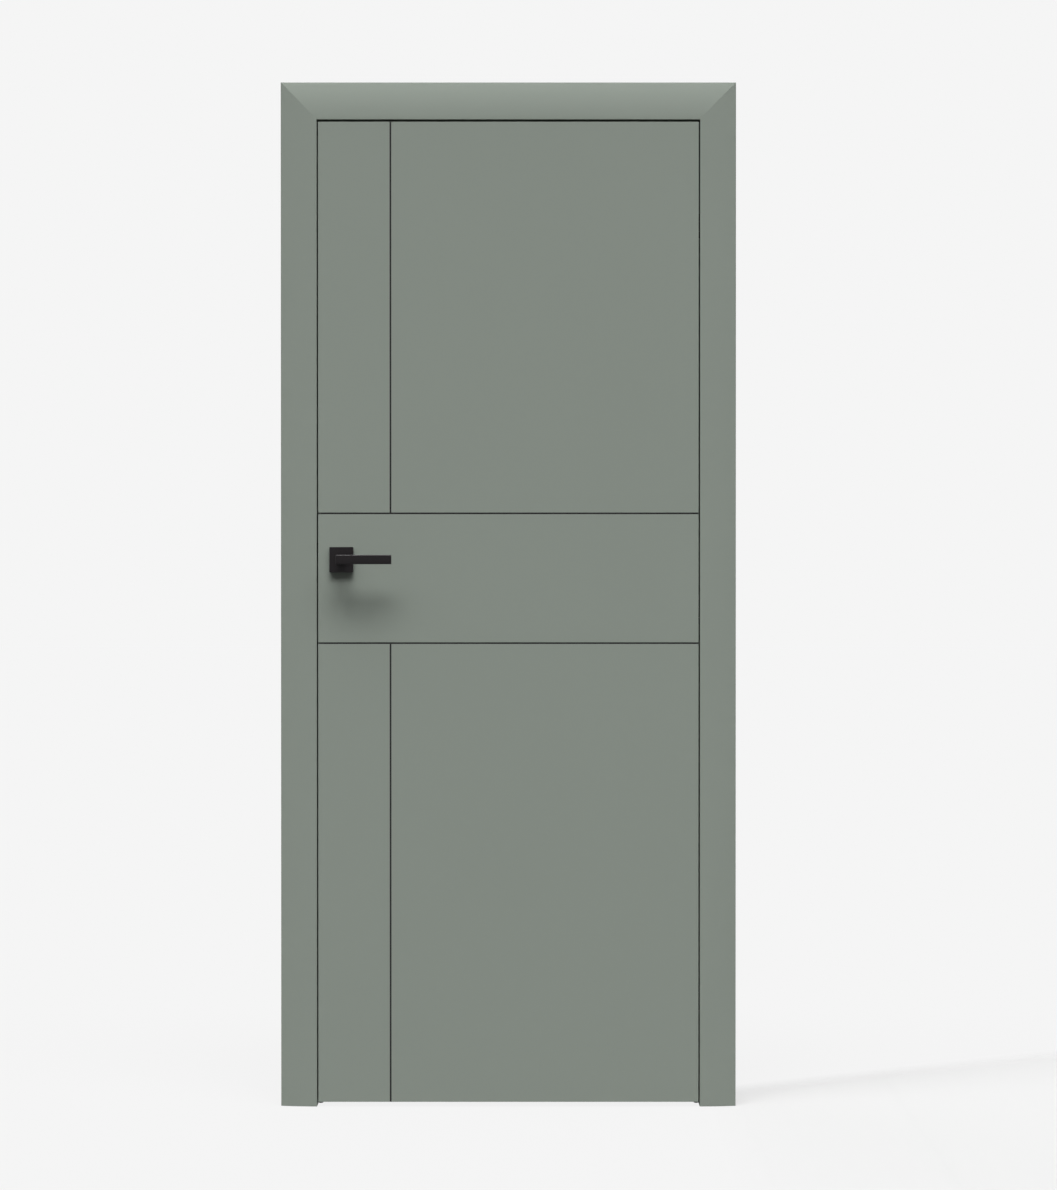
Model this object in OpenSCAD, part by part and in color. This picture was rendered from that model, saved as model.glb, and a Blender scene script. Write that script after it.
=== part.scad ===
// Interior door with its frame: a flush leaf with thin inlay lines, a lever handle and concealed hinges.
// Millimetres. +Z is up, the front face looks along -Y, the lock edge is at -X and the hinges at +X.
// The origin lies on the floor, in the middle of the doorway, in the plane of the leaf's front face.

/* [Leaf] */
// Width of the leaf
leaf_w = 815; // [700:1:1000]
// Height of the leaf
leaf_h = 2100; // [1900:1:2400]
// Thickness of the leaf
leaf_t = 44; // [44:1:60]
// Thickness of each face skin
skin_t = 4; // [3:0.5:5]
// Width of the upright stiles inside the leaf
stile_w = 44; // [38:1:60]
// Height of the top rail inside the leaf
top_rail_h = 60; // [40:1:120]
// Height of the bottom rail inside the leaf
bottom_rail_h = 90; // [60:1:200]
// Width of the block that holds the lock
lock_block_w = 62; // [50:1:120]
// Height of the block that holds the lock
lock_block_h = 320; // [240:1:500]
// Diameter of the tubes through the core board
tube_d = 24; // [16:1:28]
// Web of board left between two tubes
tube_web = 7; // [5:0.5:14]

/* [Gaps] */
// Gap between the leaf and each jamb
side_gap = 2.9; // [2:0.1:4]
// Gap between the leaf and the head
top_gap = 4.6; // [2:0.1:6]
// Gap between the leaf and the floor
floor_gap = 10; // [4:0.5:20]
// Room for the seal between the leaf and the stop
seal_gap = 4; // [3:0.1:6]
// Space between the seal bulb and the leaf
seal_clear = 0.3; // [0.2:0.05:0.6]

/* [Frame] */
// Thickness of the wall that the frame lines
wall_t = 100; // [85:1:160]
// Width of the upright casings
casing_w = 77.5; // [64:0.5:110]
// Height of the head casings
casing_head_w = 81; // [64:0.5:110]
// Thickness of the casings at the wall
casing_t = 16; // [15:0.5:22]
// Thickness of the front casing over the lining
casing_lap = 10; // [8:0.25:11]
// Fall of the curved casing face from inner to outer edge
casing_drop = 9; // [4:0.5:11]
// Thickness of the lining beside the rebate
lining_t = 36; // [32:1:44]
// Width of the stop that the leaf closes on
stop_w = 10; // [9:0.5:16]
// Thickness of the casing tongues
tongue_t = 5; // [4:0.25:6]
// Lining left outside the tongue groove
tongue_cover = 4; // [3:0.25:6]
// Length of the front casing tongue
tongue_l = 11; // [8:0.5:16]
// Length of the rear casing tongue that takes up the wall thickness
rear_tongue_l = 24; // [16:1:36]
// Width of the seal foot
seal_foot_w = 3; // [2:0.25:4]
// Depth of the seal foot
seal_foot_l = 6; // [4:0.5:8]
// Wall of the hollow seal bulb
seal_wall = 1; // [0.6:0.1:1.4]
// Length of the screws that join the lining corners
corner_screw_l = 60; // [45:1:80]
// Distance between the two screws of a corner
corner_screw_pitch = 22; // [16:1:40]

/* [Inlays] */
// Width of the inlay strips
inlay_w = 3.5; // [2:0.25:6]
// Depth of the grooves for the inlay strips
inlay_groove = 2; // [1.5:0.1:2.5]
// Depth of the inlay face below the leaf face
inlay_sunk = 0.3; // [0.1:0.05:0.8]
// Distance of the upright inlay from the lock edge
upright_in = 155; // [100:1:300]
// Height of the upper cross inlay above the bottom of the leaf
cross_upper = 1262; // [1200:1:1500]
// Height of the lower cross inlay above the bottom of the leaf
cross_lower = 984; // [700:1:1050]

/* [Handle] */
// Height of the lever axis above the floor
handle_z = 1173; // [1100:1:1200]
// Distance of the lever axis from the lock edge
backset = 50; // [45:1:60]
// Width of the rose
rose_w = 51; // [49:0.5:60]
// Height of the rose
rose_h = 54; // [49:0.5:60]
// Projection of the rose from the leaf
rose_t = 9; // [8:0.25:12]
// Wall of the hollow rose cover
rose_wall = 1.6; // [1.2:0.1:2]
// Thickness of the base under the rose cover
rose_base_t = 6; // [4:0.25:6.25]
// Corner radius of the rose
rose_r = 1.5; // [0.5:0.1:6]
// Length of the lever from end to tip
lever_l = 119; // [100:1:150]
// Height of the lever bar
lever_h = 20; // [18:0.5:24]
// Thickness of the lever bar
lever_t = 9; // [7:0.5:12]
// Radius of the crown on the lower half of the lever face
lever_crown_r = 40; // [40:1:200]
// Height of the flat along the upper edge of the lever face
lever_flat_h = 1.3; // [0.8:0.1:3]
// Depth of the flat along the upper edge of the lever face
lever_flat_d = 0.8; // [0.4:0.1:2]
// Projection of the lever from the leaf
lever_out = 55; // [48:0.5:70]
// Width of the lever neck
neck_w = 20; // [18:0.5:24]
// Radius of the outer bend of the lever
bend_out = 3; // [2:0.5:9.5]
// Radius of the inner bend of the lever
bend_in = 11; // [4:0.5:20]
// Space between the lever neck and the rose
neck_clear = 0.6; // [0.4:0.1:1.2]
// Diameter of the lever journal
journal_d = 17; // [14.5:0.1:17.5]
// Side of the square spindle
spindle_w = 8; // [7:0.1:9]
// Depth of the spindle in each lever
spindle_in = 24; // [15:0.5:30]
// Diameter of the grub screws
grub_d = 5; // [4:0.25:6]
// Distance between the two bolts through the roses
rose_bolt_pitch = 36; // [34:0.5:37.5]
// Diameter of the bolts through the roses
rose_bolt_d = 4; // [3:0.25:4.5]

/* [Lock] */
// Thickness of the lock case
case_t = 15; // [14:0.5:17]
// Height of the lock case
case_h = 92; // [84:1:120]
// Depth of the lock case behind the lever axis
case_back = 24; // [23.5:0.5:34]
// Wall of the lock case
case_wall = 1.5; // [1:0.1:2]
// Width of the lock forend
forend_w = 20; // [18:0.5:24]
// Height of the lock forend
forend_h = 200; // [160:1:230]
// Thickness of the lock forend
forend_t = 3; // [2:0.25:4]
// Height of the latch centre above the lever axis
latch_up = 25; // [25:0.5:29]
// Thickness of the latch head
latch_t = 11; // [9:0.5:11]
// Height of the latch head
latch_h = 22; // [18:0.5:23]
// Throw of the latch past the lock edge
latch_out = 11; // [9:0.25:11]
// Flat left at the tip of the latch bevel
latch_tip = 2; // [1:0.25:4]
// Length of the latch head behind the lock edge
latch_in = 20; // [18:0.5:22]
// Height of the latch tail
tail_h = 8; // [6:0.5:9]
// Thickness of the latch tail and of the follower arm
tail_t = 6; // [4:0.5:7]
// Width of the lug under the latch tail
lug_w = 5; // [4:0.5:6]
// Radius at which the follower pushes the latch tail
follower_arm = 16; // [16:0.25:17]
// Diameter of the follower disc
follower_d = 22; // [20:0.5:23]
// Diameter of the follower hub in the case walls
follower_hub_d = 15; // [13.5:0.25:17]
// Length of the forend screws
lock_screw_l = 28; // [20:0.5:34]
// Distance of the forend screws from its ends
lock_screw_in = 13; // [10:0.5:20]

/* [Strike] */
// Width of the strike plate
strike_w = 22; // [20:0.5:23]
// Height of the strike plate
strike_h = 150; // [120:1:200]
// Thickness of the strike plate
strike_t = 2.5; // [2:0.25:4]
// Margin of the strike opening round the latch
strike_margin = 1.5; // [0.75:0.25:2]
// Depth of the strike box
strike_box_d = 16; // [12:0.5:20]
// Wall of the strike box
strike_box_wall = 1.5; // [1:0.1:2]
// Corner radius of the strike plate
strike_r = 4; // [1:0.5:9]
// Length of the strike screws
strike_screw_l = 24; // [18:0.5:26]
// Distance of the strike screws from its ends
strike_screw_in = 14; // [10:0.5:20]

/* [Hinges] */
// Height of each hinge body
hinge_h = 118; // [114:1:150]
// Depth of each hinge body
hinge_d = 15.5; // [15:0.5:20]
// Corner radius of each hinge body
hinge_r = 12; // [4:0.5:13]
// Distance of the outer hinges from the ends of the leaf
hinge_in = 220; // [160:1:320]
// Height of the pocket for the hinge arms
pocket_h = 54; // [50:1:56]
// Wall of the hinge body beside the pocket
hinge_wall = 1.4; // [1:0.1:1.5]
// Wood left between the hinge bodies and the lining front
hinge_cover = 1; // [0.5:0.1:1.25]
// Distance of each fixed hinge pin from the middle of the gap
pin_x = 7; // [6.5:0.1:7.2]
// Radius of the bosses of the hinge arms
boss_r = 3.5; // [3.2:0.05:3.6]
// Width of the hinge arms
arm_w = 5.5; // [4.5:0.1:6]
// Bow of the hinge arms
arm_bow = 7; // [6.5:0.1:7.4]
// Height of the leaf arm between the two frame arms
leaf_arm_h = 22; // [16:0.5:26]
// Diameter of the hinge pins
hinge_pin_d = 4; // [3:0.1:4.4]
// Depth of the fixed pins in the hinge body
pin_seat = 8; // [5:0.25:9]
// Diameter of the wood screws
screw_d = 4; // [3:0.1:4.5]
// Diameter of the wood screw heads
screw_head_d = 8; // [6.5:0.1:8.5]
// Length of the hinge screws
screw_l = 32; // [25:0.5:34]
// Distance of the outer hinge screws from the ends of the body
screw_in = 8; // [7:0.25:9]
// Distance between the hinge screws at each end
screw_pitch = 11; // [9.5:0.25:12]

/* [Fits] */
// Space at each side of a let-in piece
fit = 0.15; // [0.05:0.05:0.3]
// Radial running clearance of pins and journals
run = 0.05; // [0.02:0.01:0.1]
// Space between stacked moving pieces
layer_gap = 0.3; // [0.2:0.05:0.5]
// Space of a sliding piece in its guide
slide = 0.15; // [0.1:0.01:0.3]

/* [Hidden] */
$fn = 64;

big = 4000;
leaf_x = leaf_w / 2;
rebate_x = leaf_x + side_gap;
rebate_z = floor_gap + leaf_h + top_gap;
leaf_top = floor_gap + leaf_h;
stop_y = leaf_t + seal_gap;
lining_rear = casing_t + wall_t;
tongue_u = lining_t - tongue_cover - tongue_t;
seal_u = -stop_w / 2;
mitre_rise = casing_head_w / casing_w;
core_w = leaf_w - 2 * stile_w;
core_t = leaf_t - 2 * skin_t;
core_z = floor_gap + bottom_rail_h;
core_h = leaf_h - top_rail_h - bottom_rail_h;
tube_n = floor((core_w - tube_web) / (tube_d + tube_web));
upright_x = -leaf_x + upright_in;
upper_z = floor_gap + cross_upper;
lower_z = floor_gap + cross_lower;
lever_x = -leaf_x + backset;
lock_y = leaf_t / 2;
latch_z = handle_z + latch_up;
case_x = -leaf_x + forend_t;
case_in = case_t - 2 * case_wall;
lever_cut_d = follower_hub_d + 6;
strike_slot_w = latch_t + 2 * strike_margin;
strike_slot_h = latch_h + 2 * strike_margin;
axis_x = rebate_x - side_gap / 2;
mouth = side_gap / 2;
cup_y = casing_lap + hinge_cover;
pin_y = cup_y + hinge_wall + layer_gap + boss_r;
cup_w = 2 * pin_y + boss_r + layer_gap + hinge_wall - cup_y;
cup_mid = cup_y + cup_w / 2;
arm_l = sqrt(pin_x * pin_x + pin_y * pin_y);
bow_a = atan2(pin_x, pin_y);
bow_r = (arm_l * arm_l / 4 + arm_bow * arm_bow) / (2 * arm_bow);
bow_x = pin_x / 2 + (arm_bow - bow_r) * cos(bow_a);
bow_y = 1.5 * pin_y + (arm_bow - bow_r) * sin(bow_a);
pocket_d = bow_x + bow_r + arm_w / 2 + layer_gap * 2 - mouth;
tail_z = handle_z + follower_arm + tail_t / 2 + layer_gap;
screw_z = [hinge_h / 2 - screw_in, hinge_h / 2 - screw_in - screw_pitch];
hinge_z = [leaf_top - hinge_in, floor_gap + leaf_h / 2, floor_gap + hinge_in];

// Rectangle with round corners, centred
module round_rect(w, h, r) {
    square([w - 2 * r, h], center = true);
    square([w, h - 2 * r], center = true);
    for (sx = [-1, 1], sy = [-1, 1])
        translate([sx * (w / 2 - r), sy * (h / 2 - r)])
            circle(r = r);
}

// Outline drawn in Y and Z, extruded towards +X
module along_x(l) {
    rotate([90, 0, 90])
        linear_extrude(height = l)
            children();
}

// Outline drawn in X and Z, extruded towards +Y
module along_y(l) {
    translate([0, l, 0])
        rotate([90, 0, 0])
            linear_extrude(height = l)
                children();
}

// Round bar towards +X
module bar_x(d, l) {
    rotate([0, 90, 0])
        cylinder(h = l, d = d);
}

// Round bar towards +Y
module bar_y(d, l) {
    rotate([-90, 0, 0])
        cylinder(h = l, d = d);
}

// Countersunk wood screw with its head at the origin, pointing to +X
module screw_x(l) {
    rotate([0, 90, 0]) {
        cylinder(h = screw_head_d / 2 - screw_d / 2, d1 = screw_head_d, d2 = screw_d);
        translate([0, 0, screw_head_d / 2 - screw_d / 2])
            cylinder(h = l - screw_head_d / 2 + screw_d / 2, d = screw_d);
    }
}

// Radius of the curved face of a casing
function face_r(w) = (w * w + casing_drop * casing_drop) / (2 * casing_drop);

// Space above the mitre of the right corner, from the inner edge outwards
module head_side(inset, rise) {
    translate([rebate_x - inset, 0, rebate_z - inset])
        rotate([0, -atan(rise), 0])
            translate([-big, -big, 0])
                cube([2 * big, 2 * big, big]);
}

// A length of the outline at the right jamb, cut at the mitre
module right_length(inset, rise) {
    difference() {
        translate([rebate_x - inset, 0, 0])
            linear_extrude(height = rebate_z + 2 * casing_head_w)
                children();
        head_side(inset, rise);
    }
}

// A length of the outline over the doorway, cut at both mitres
module head_length(inset, rise) {
    intersection() {
        translate([rebate_x + 2 * casing_w, 0, rebate_z - inset])
            rotate([0, -90, 0])
                linear_extrude(height = 2 * rebate_x + 4 * casing_w)
                    children();
        head_side(inset, rise);
        mirror([1, 0, 0])
            head_side(inset, rise);
    }
}

// Lining outline: X is measured outwards from the rebate face
module lining_outline() {
    difference() {
        union() {
            translate([0, casing_lap])
                square([lining_t, lining_rear - casing_lap]);
            translate([-stop_w, stop_y])
                square([stop_w + 1, lining_rear - stop_y]);
        }
        translate([tongue_u - fit, casing_lap - 1])
            square([tongue_t + 2 * fit, tongue_l + 2]);
        translate([tongue_u - fit, lining_rear - rear_tongue_l - 1])
            square([tongue_t + 2 * fit, rear_tongue_l + 2]);
        translate([seal_u - seal_foot_w / 2, stop_y - 1])
            square([seal_foot_w, seal_foot_l + 1]);
    }
}

// Board of a casing with its curved face at Y = 0 and the inner edge at X = 0
module casing_board(w, lap) {
    difference() {
        intersection() {
            square([w, casing_t]);
            translate([0, face_r(w)])
                circle(r = face_r(w), $fn = 720);
        }
        translate([-1, lap])
            square([lap < casing_t ? lining_t + fit + 1 : 0.5, casing_t]);
    }
}

// Tongue of a casing, from inside its board
module casing_tongue(lap, at, l) {
    translate([at, lap - 1])
        square([tongue_t, l + 1]);
}

// Outline turned to face +Y behind the wall
module rear_face() {
    translate([0, lining_rear + casing_t])
        mirror([0, 1])
            children();
}

// Right front casing
module front_upright() {
    right_length(0, mitre_rise)
        casing_board(casing_w, casing_lap);
    right_length(0, min(1, mitre_rise))
        casing_tongue(casing_lap, tongue_u, tongue_l);
}

// Right rear casing
module rear_upright() {
    right_length(stop_w, mitre_rise)
        rear_face()
            casing_board(casing_w, casing_t);
    right_length(stop_w, min(1, mitre_rise))
        rear_face()
            casing_tongue(casing_t, tongue_u + stop_w, rear_tongue_l);
}

// Half of a round bulb in front of the stop
module seal_bulb(r, base) {
    intersection() {
        translate([seal_u, stop_y])
            circle(r = r);
        translate([-stop_w, stop_y - seal_gap])
            square([stop_w, seal_gap - base]);
    }
}

// Seal outline: a hollow bulb in front of the stop and a foot in its groove
module seal_outline() {
    difference() {
        seal_bulb(seal_gap - seal_clear, 0);
        seal_bulb(seal_gap - seal_clear - seal_wall, seal_wall);
    }
    translate([seal_u - seal_foot_w / 2, stop_y - seal_wall / 2])
        square([seal_foot_w, seal_foot_l]);
}

// Pocket in the wood for one hinge body and its screws, at the frame side
module hinge_recess() {
    translate([mouth - 1, cup_mid, 0])
        along_x(hinge_d + 1)
            round_rect(cup_w + 2 * fit, hinge_h + 2 * fit, hinge_r);
    hinge_screws_at();
}

// Screws of one hinge body
module hinge_screws_at() {
    for (s = [-1, 1], z = screw_z)
        translate([mouth, cup_mid, s * z])
            screw_x(screw_l);
}

// One hinge body at the frame side, with the swing line at the origin
module hinge_cup() {
    difference() {
        translate([mouth, cup_mid, 0])
            along_x(hinge_d)
                round_rect(cup_w, hinge_h, hinge_r);
        translate([mouth - 1, cup_y + hinge_wall, -pocket_h / 2])
            cube([pocket_d + 1, cup_w - 2 * hinge_wall, pocket_h]);
        hinge_pin_at();
        hinge_screws_at();
    }
}

// Fixed pin of one hinge body
module hinge_pin_at() {
    translate([pin_x, pin_y, -pocket_h / 2 - pin_seat])
        cylinder(h = pocket_h + 2 * pin_seat, d = hinge_pin_d);
}

// Plan of a bowed arm from the fixed pin to the centre pin
module arm_plan(centre_hole_r) {
    difference() {
        union() {
            intersection() {
                translate([bow_x, bow_y])
                    difference() {
                        circle(r = bow_r + arm_w / 2);
                        circle(r = bow_r - arm_w / 2);
                    }
                translate([pin_x / 2, 1.5 * pin_y])
                    rotate(bow_a)
                        translate([0, -2 * arm_l])
                            square([4 * arm_l, 4 * arm_l]);
            }
            translate([pin_x, pin_y])
                circle(r = boss_r);
            translate([0, 2 * pin_y])
                circle(r = boss_r);
        }
        translate([pin_x, pin_y])
            circle(d = hinge_pin_d + 2 * run);
        translate([0, 2 * pin_y])
            circle(r = centre_hole_r);
    }
}

// The two outer arms of one hinge
module outer_arms() {
    for (s = [0, 1])
        mirror([0, 0, s])
            translate([0, 0, leaf_arm_h / 2 + layer_gap])
                linear_extrude(height = pocket_h / 2 - leaf_arm_h / 2 - 2 * layer_gap)
                    arm_plan(hinge_pin_d / 2);
}

// The middle arm of one hinge
module middle_arm() {
    translate([0, 0, -leaf_arm_h / 2])
        linear_extrude(height = leaf_arm_h)
            arm_plan(hinge_pin_d / 2 + run);
}

// Children at one hinge, frame side
module at_hinge(i) {
    translate([axis_x, 0, hinge_z[i]])
        children();
}

// Children at one hinge, leaf side
module at_hinge_leaf(i) {
    translate([axis_x, 0, hinge_z[i]])
        mirror([1, 0, 0])
            children();
}

// Screws through the mitres of the lining
module corner_screws_at() {
    for (s = [-1, 1], t = [-1, 1])
        translate([s * (rebate_x + tongue_u / 2), stop_y + t * corner_screw_pitch / 2, rebate_z + lining_t])
            rotate([0, 90, 0])
                screw_x(corner_screw_l);
}

// Strike screws, which end before the tongue groove
module strike_screws_at() {
    for (s = [-1, 1])
        translate([-rebate_x, lock_y, latch_z + s * (strike_h / 2 - strike_screw_in)])
            mirror([1, 0, 0])
                screw_x(min(strike_screw_l, tongue_u - 4 * fit));
}

// Forend screws
module lock_screws_at() {
    for (s = [-1, 1])
        translate([-leaf_x, lock_y, handle_z + s * (forend_h / 2 - lock_screw_in)])
            screw_x(lock_screw_l);
}

// Recess in the lock edge for forend, case and screws
module lock_recess() {
    translate([-leaf_x - 1, lock_y, handle_z])
        along_x(forend_t + 1)
            round_rect(forend_w + 2 * fit, forend_h + 2 * fit, forend_w / 2 - 1);
    translate([-leaf_x - 1, lock_y - case_t / 2 - fit, handle_z - case_h / 2 - fit])
        cube([backset + case_back + fit + 1, case_t + 2 * fit, case_h + 2 * fit]);
    lock_screws_at();
}

// Bores through the leaf for the spindle and the rose bolts
module handle_bores() {
    translate([lever_x, -1, handle_z])
        bar_y(lever_cut_d, leaf_t + 2);
    for (s = [-1, 1])
        translate([lever_x + s * rose_bolt_pitch / 2, -1, handle_z])
            bar_y(rose_bolt_d + 1, leaf_t + 2);
}

// Grooves or strips of the inlays on the front face, sunk from y0 to y1
module inlay_cross(z, y0, y1) {
    translate([-leaf_x, y0, z - inlay_w / 2])
        cube([leaf_w, y1 - y0, inlay_w]);
}

// Upright inlay between two heights
module inlay_upright(z0, z1, y0, y1) {
    translate([upright_x - inlay_w / 2, y0, z0])
        cube([inlay_w, y1 - y0, z1 - z0]);
}

// All the grooves of one face
module inlay_grooves() {
    translate([-1, 0, 0])
        inlay_cross(upper_z, -1, inlay_groove);
    translate([1, 0, 0])
        inlay_cross(upper_z, -1, inlay_groove);
    translate([-1, 0, 0])
        inlay_cross(lower_z, -1, inlay_groove);
    translate([1, 0, 0])
        inlay_cross(lower_z, -1, inlay_groove);
    inlay_upright(upper_z, leaf_top + 1, -1, inlay_groove);
    inlay_upright(floor_gap - 1, lower_z, -1, inlay_groove);
}

// One face skin at the front
module skin() {
    difference() {
        translate([-leaf_x, 0, floor_gap])
            cube([leaf_w, skin_t, leaf_h]);
        inlay_grooves();
        handle_bores();
    }
}

// Children turned over to the rear face
module rear_side() {
    translate([0, leaf_t, 0])
        mirror([0, 1, 0])
            children();
}

// Plan of the lever with the axis at X = 0 and the leaf face at Y = 0
module lever_plan() {
    difference() {
        union() {
            translate([-neck_w / 2, -lever_out])
                square([lever_l, lever_t]);
            translate([-neck_w / 2, -lever_out])
                square([neck_w, lever_out - rose_t - neck_clear]);
            difference() {
                translate([neck_w / 2 - 1, -lever_out + lever_t - 1])
                    square([bend_in + 1, bend_in + 1]);
                translate([neck_w / 2 + bend_in, -lever_out + lever_t + bend_in])
                    circle(r = bend_in);
            }
        }
        difference() {
            translate([-neck_w / 2 - 1, -lever_out - 1])
                square([bend_out + 1, bend_out + 1]);
            translate([-neck_w / 2 + bend_out, -lever_out + bend_out])
                circle(r = bend_out);
        }
    }
}

// Side outline of the lever about its axis: flat above, crowned back below
module lever_side() {
    difference() {
        translate([-lever_out, 0])
            square([lever_out, lever_h / 2]);
        translate([-lever_out, lever_h / 2])
            polygon([[-lever_flat_d, -2 * lever_flat_h], [2 * lever_flat_d, lever_flat_h],
                [-lever_flat_d, lever_flat_h]]);
    }
    intersection() {
        translate([-lever_out, -lever_h / 2])
            square([lever_out, lever_h / 2 + 0.1]);
        translate([-lever_out + lever_crown_r, 0])
            circle(r = lever_crown_r, $fn = 180);
    }
}

// Grub screw under one lever
module grub_at() {
    translate([lever_x, -rose_t - neck_clear - 9, handle_z - lever_h / 2])
        cylinder(h = lever_h / 2 - spindle_w / 2 - fit / 2, d = grub_d);
}

// One lever at the front
module lever() {
    difference() {
        union() {
            intersection() {
                translate([lever_x, 0, handle_z - lever_h / 2])
                    linear_extrude(height = lever_h)
                        lever_plan();
                translate([lever_x - neck_w, 0, handle_z])
                    along_x(lever_l + neck_w)
                        lever_side();
            }
            translate([lever_x, -rose_t - neck_clear - 1, handle_z])
                bar_y(journal_d, rose_t + neck_clear + 3);
        }
        translate([lever_x - spindle_w / 2 - fit / 2, -spindle_in, handle_z - spindle_w / 2 - fit / 2])
            cube([spindle_w + fit, spindle_in + 10, spindle_w + fit]);
        grub_at();
    }
}

// Hollow rose cover at the front
module rose_cover() {
    difference() {
        translate([lever_x, -rose_t, handle_z])
            along_y(rose_t)
                round_rect(rose_w, rose_h, rose_r);
        translate([lever_x - rose_w / 2 + rose_wall, -rose_t + rose_wall, handle_z - rose_h / 2 + rose_wall])
            cube([rose_w - 2 * rose_wall, rose_t, rose_h - 2 * rose_wall]);
        translate([lever_x, -rose_t - 1, handle_z])
            bar_y(journal_d + 0.8, rose_t);
    }
}

// Rose base at the front, without bolt holes
module rose_plate() {
    difference() {
        translate([lever_x - rose_w / 2 + rose_wall + fit, -rose_base_t, handle_z - rose_h / 2 + rose_wall + fit])
            cube([rose_w - 2 * rose_wall - 2 * fit, rose_base_t, rose_h - 2 * rose_wall - 2 * fit]);
        translate([lever_x, -rose_base_t - 1, handle_z])
            bar_y(journal_d + 2 * run, rose_base_t + 2);
    }
}

// Bolts that clamp the two rose bases together
module rose_bolts_at() {
    for (s = [-1, 1])
        translate([lever_x + s * rose_bolt_pitch / 2, 0, handle_z]) {
            translate([0, -rose_base_t + 1, 0])
                bar_y(rose_bolt_d, leaf_t + 2 * rose_base_t - 3);
            translate([0, leaf_t + rose_base_t - 2, 0])
                bar_y(rose_bolt_d * 1.8, 2);
        }
}

module lining_left() {
    color("#818881")
        difference() {
            mirror([1, 0, 0])
                right_length(0, 1)
                    lining_outline();
            translate([-rebate_x - strike_t, lock_y, latch_z])
                along_x(strike_t + 1)
                    round_rect(strike_w + 2 * fit, strike_h + 2 * fit, strike_r);
            translate([-rebate_x - strike_t - strike_box_d - fit, lock_y - strike_slot_w / 2 - strike_box_wall - fit,
                latch_z - strike_slot_h / 2 - strike_box_wall - fit])
                cube([strike_box_d + fit + 1, strike_slot_w + 2 * strike_box_wall + 2 * fit,
                    strike_slot_h + 2 * strike_box_wall + 2 * fit]);
            strike_screws_at();
            corner_screws_at();
        }
}

module lining_right() {
    color("#818881")
        difference() {
            right_length(0, 1)
                lining_outline();
            for (i = [0, 1, 2])
                at_hinge(i)
                    hinge_recess();
            corner_screws_at();
        }
}

module lining_head() {
    color("#818881")
        difference() {
            head_length(0, 1)
                lining_outline();
            corner_screws_at();
        }
}

module casing_front_left() {
    color("#818881")
        mirror([1, 0, 0])
            front_upright();
}

module casing_front_right() {
    color("#818881")
        front_upright();
}

module casing_front_head() {
    color("#818881") {
        head_length(0, mitre_rise)
            casing_board(casing_head_w, casing_lap);
        head_length(0, max(1, mitre_rise))
            casing_tongue(casing_lap, tongue_u, tongue_l);
    }
}

module casing_rear_left() {
    color("#818881")
        mirror([1, 0, 0])
            rear_upright();
}

module casing_rear_right() {
    color("#818881")
        rear_upright();
}

module casing_rear_head() {
    color("#818881") {
        head_length(stop_w, mitre_rise)
            rear_face()
                casing_board(casing_head_w, casing_t);
        head_length(stop_w, max(1, mitre_rise))
            rear_face()
                casing_tongue(casing_t, tongue_u + stop_w, rear_tongue_l);
    }
}

module seal_left() {
    color("#202020")
        mirror([1, 0, 0])
            right_length(0, 1)
                seal_outline();
}

module seal_right() {
    color("#202020")
        right_length(0, 1)
            seal_outline();
}

module seal_head() {
    color("#202020")
        head_length(0, 1)
            seal_outline();
}

module corner_screws() {
    color("#b8b8b4")
        corner_screws_at();
}

module strike_plate() {
    color("#b8b8b4")
        difference() {
            translate([-rebate_x - strike_t, lock_y, latch_z])
                along_x(strike_t)
                    round_rect(strike_w, strike_h, strike_r);
            translate([-rebate_x - strike_t - 1, lock_y - strike_slot_w / 2, latch_z - strike_slot_h / 2])
                cube([strike_t + 2, strike_slot_w, strike_slot_h]);
            strike_screws_at();
        }
}

module strike_box() {
    color("#303030")
        translate([-rebate_x - strike_t - strike_box_d, lock_y, latch_z])
            difference() {
                translate([0, -strike_slot_w / 2 - strike_box_wall, -strike_slot_h / 2 - strike_box_wall])
                    cube([strike_box_d, strike_slot_w + 2 * strike_box_wall, strike_slot_h + 2 * strike_box_wall]);
                translate([strike_box_wall, -strike_slot_w / 2, -strike_slot_h / 2])
                    cube([strike_box_d, strike_slot_w, strike_slot_h]);
            }
}

module strike_screws() {
    color("#b8b8b4")
        strike_screws_at();
}

module hinge_frame_top() {
    color("#a8a8a6")
        at_hinge(0)
            hinge_cup();
}

module hinge_frame_middle() {
    color("#a8a8a6")
        at_hinge(1)
            hinge_cup();
}

module hinge_frame_bottom() {
    color("#a8a8a6")
        at_hinge(2)
            hinge_cup();
}

module hinge_frame_pins() {
    color("#c8c8c4")
        for (i = [0, 1, 2])
            at_hinge(i)
                hinge_pin_at();
}

module hinge_frame_screws() {
    color("#b8b8b4")
        for (i = [0, 1, 2])
            at_hinge(i)
                hinge_screws_at();
}

module hinge_frame_arms() {
    color("#a8a8a6")
        for (i = [0, 1, 2])
            at_hinge(i)
                outer_arms();
}

module hinge_centre_pins() {
    color("#c8c8c4")
        for (i = [0, 1, 2])
            at_hinge(i)
                translate([0, 2 * pin_y, -pocket_h / 2 + layer_gap])
                    cylinder(h = pocket_h - 2 * layer_gap, d = hinge_pin_d);
}

module hinge_leaf_top() {
    color("#a8a8a6")
        at_hinge_leaf(0)
            hinge_cup();
}

module hinge_leaf_middle() {
    color("#a8a8a6")
        at_hinge_leaf(1)
            hinge_cup();
}

module hinge_leaf_bottom() {
    color("#a8a8a6")
        at_hinge_leaf(2)
            hinge_cup();
}

module hinge_leaf_pins() {
    color("#c8c8c4")
        for (i = [0, 1, 2])
            at_hinge_leaf(i)
                hinge_pin_at();
}

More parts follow.
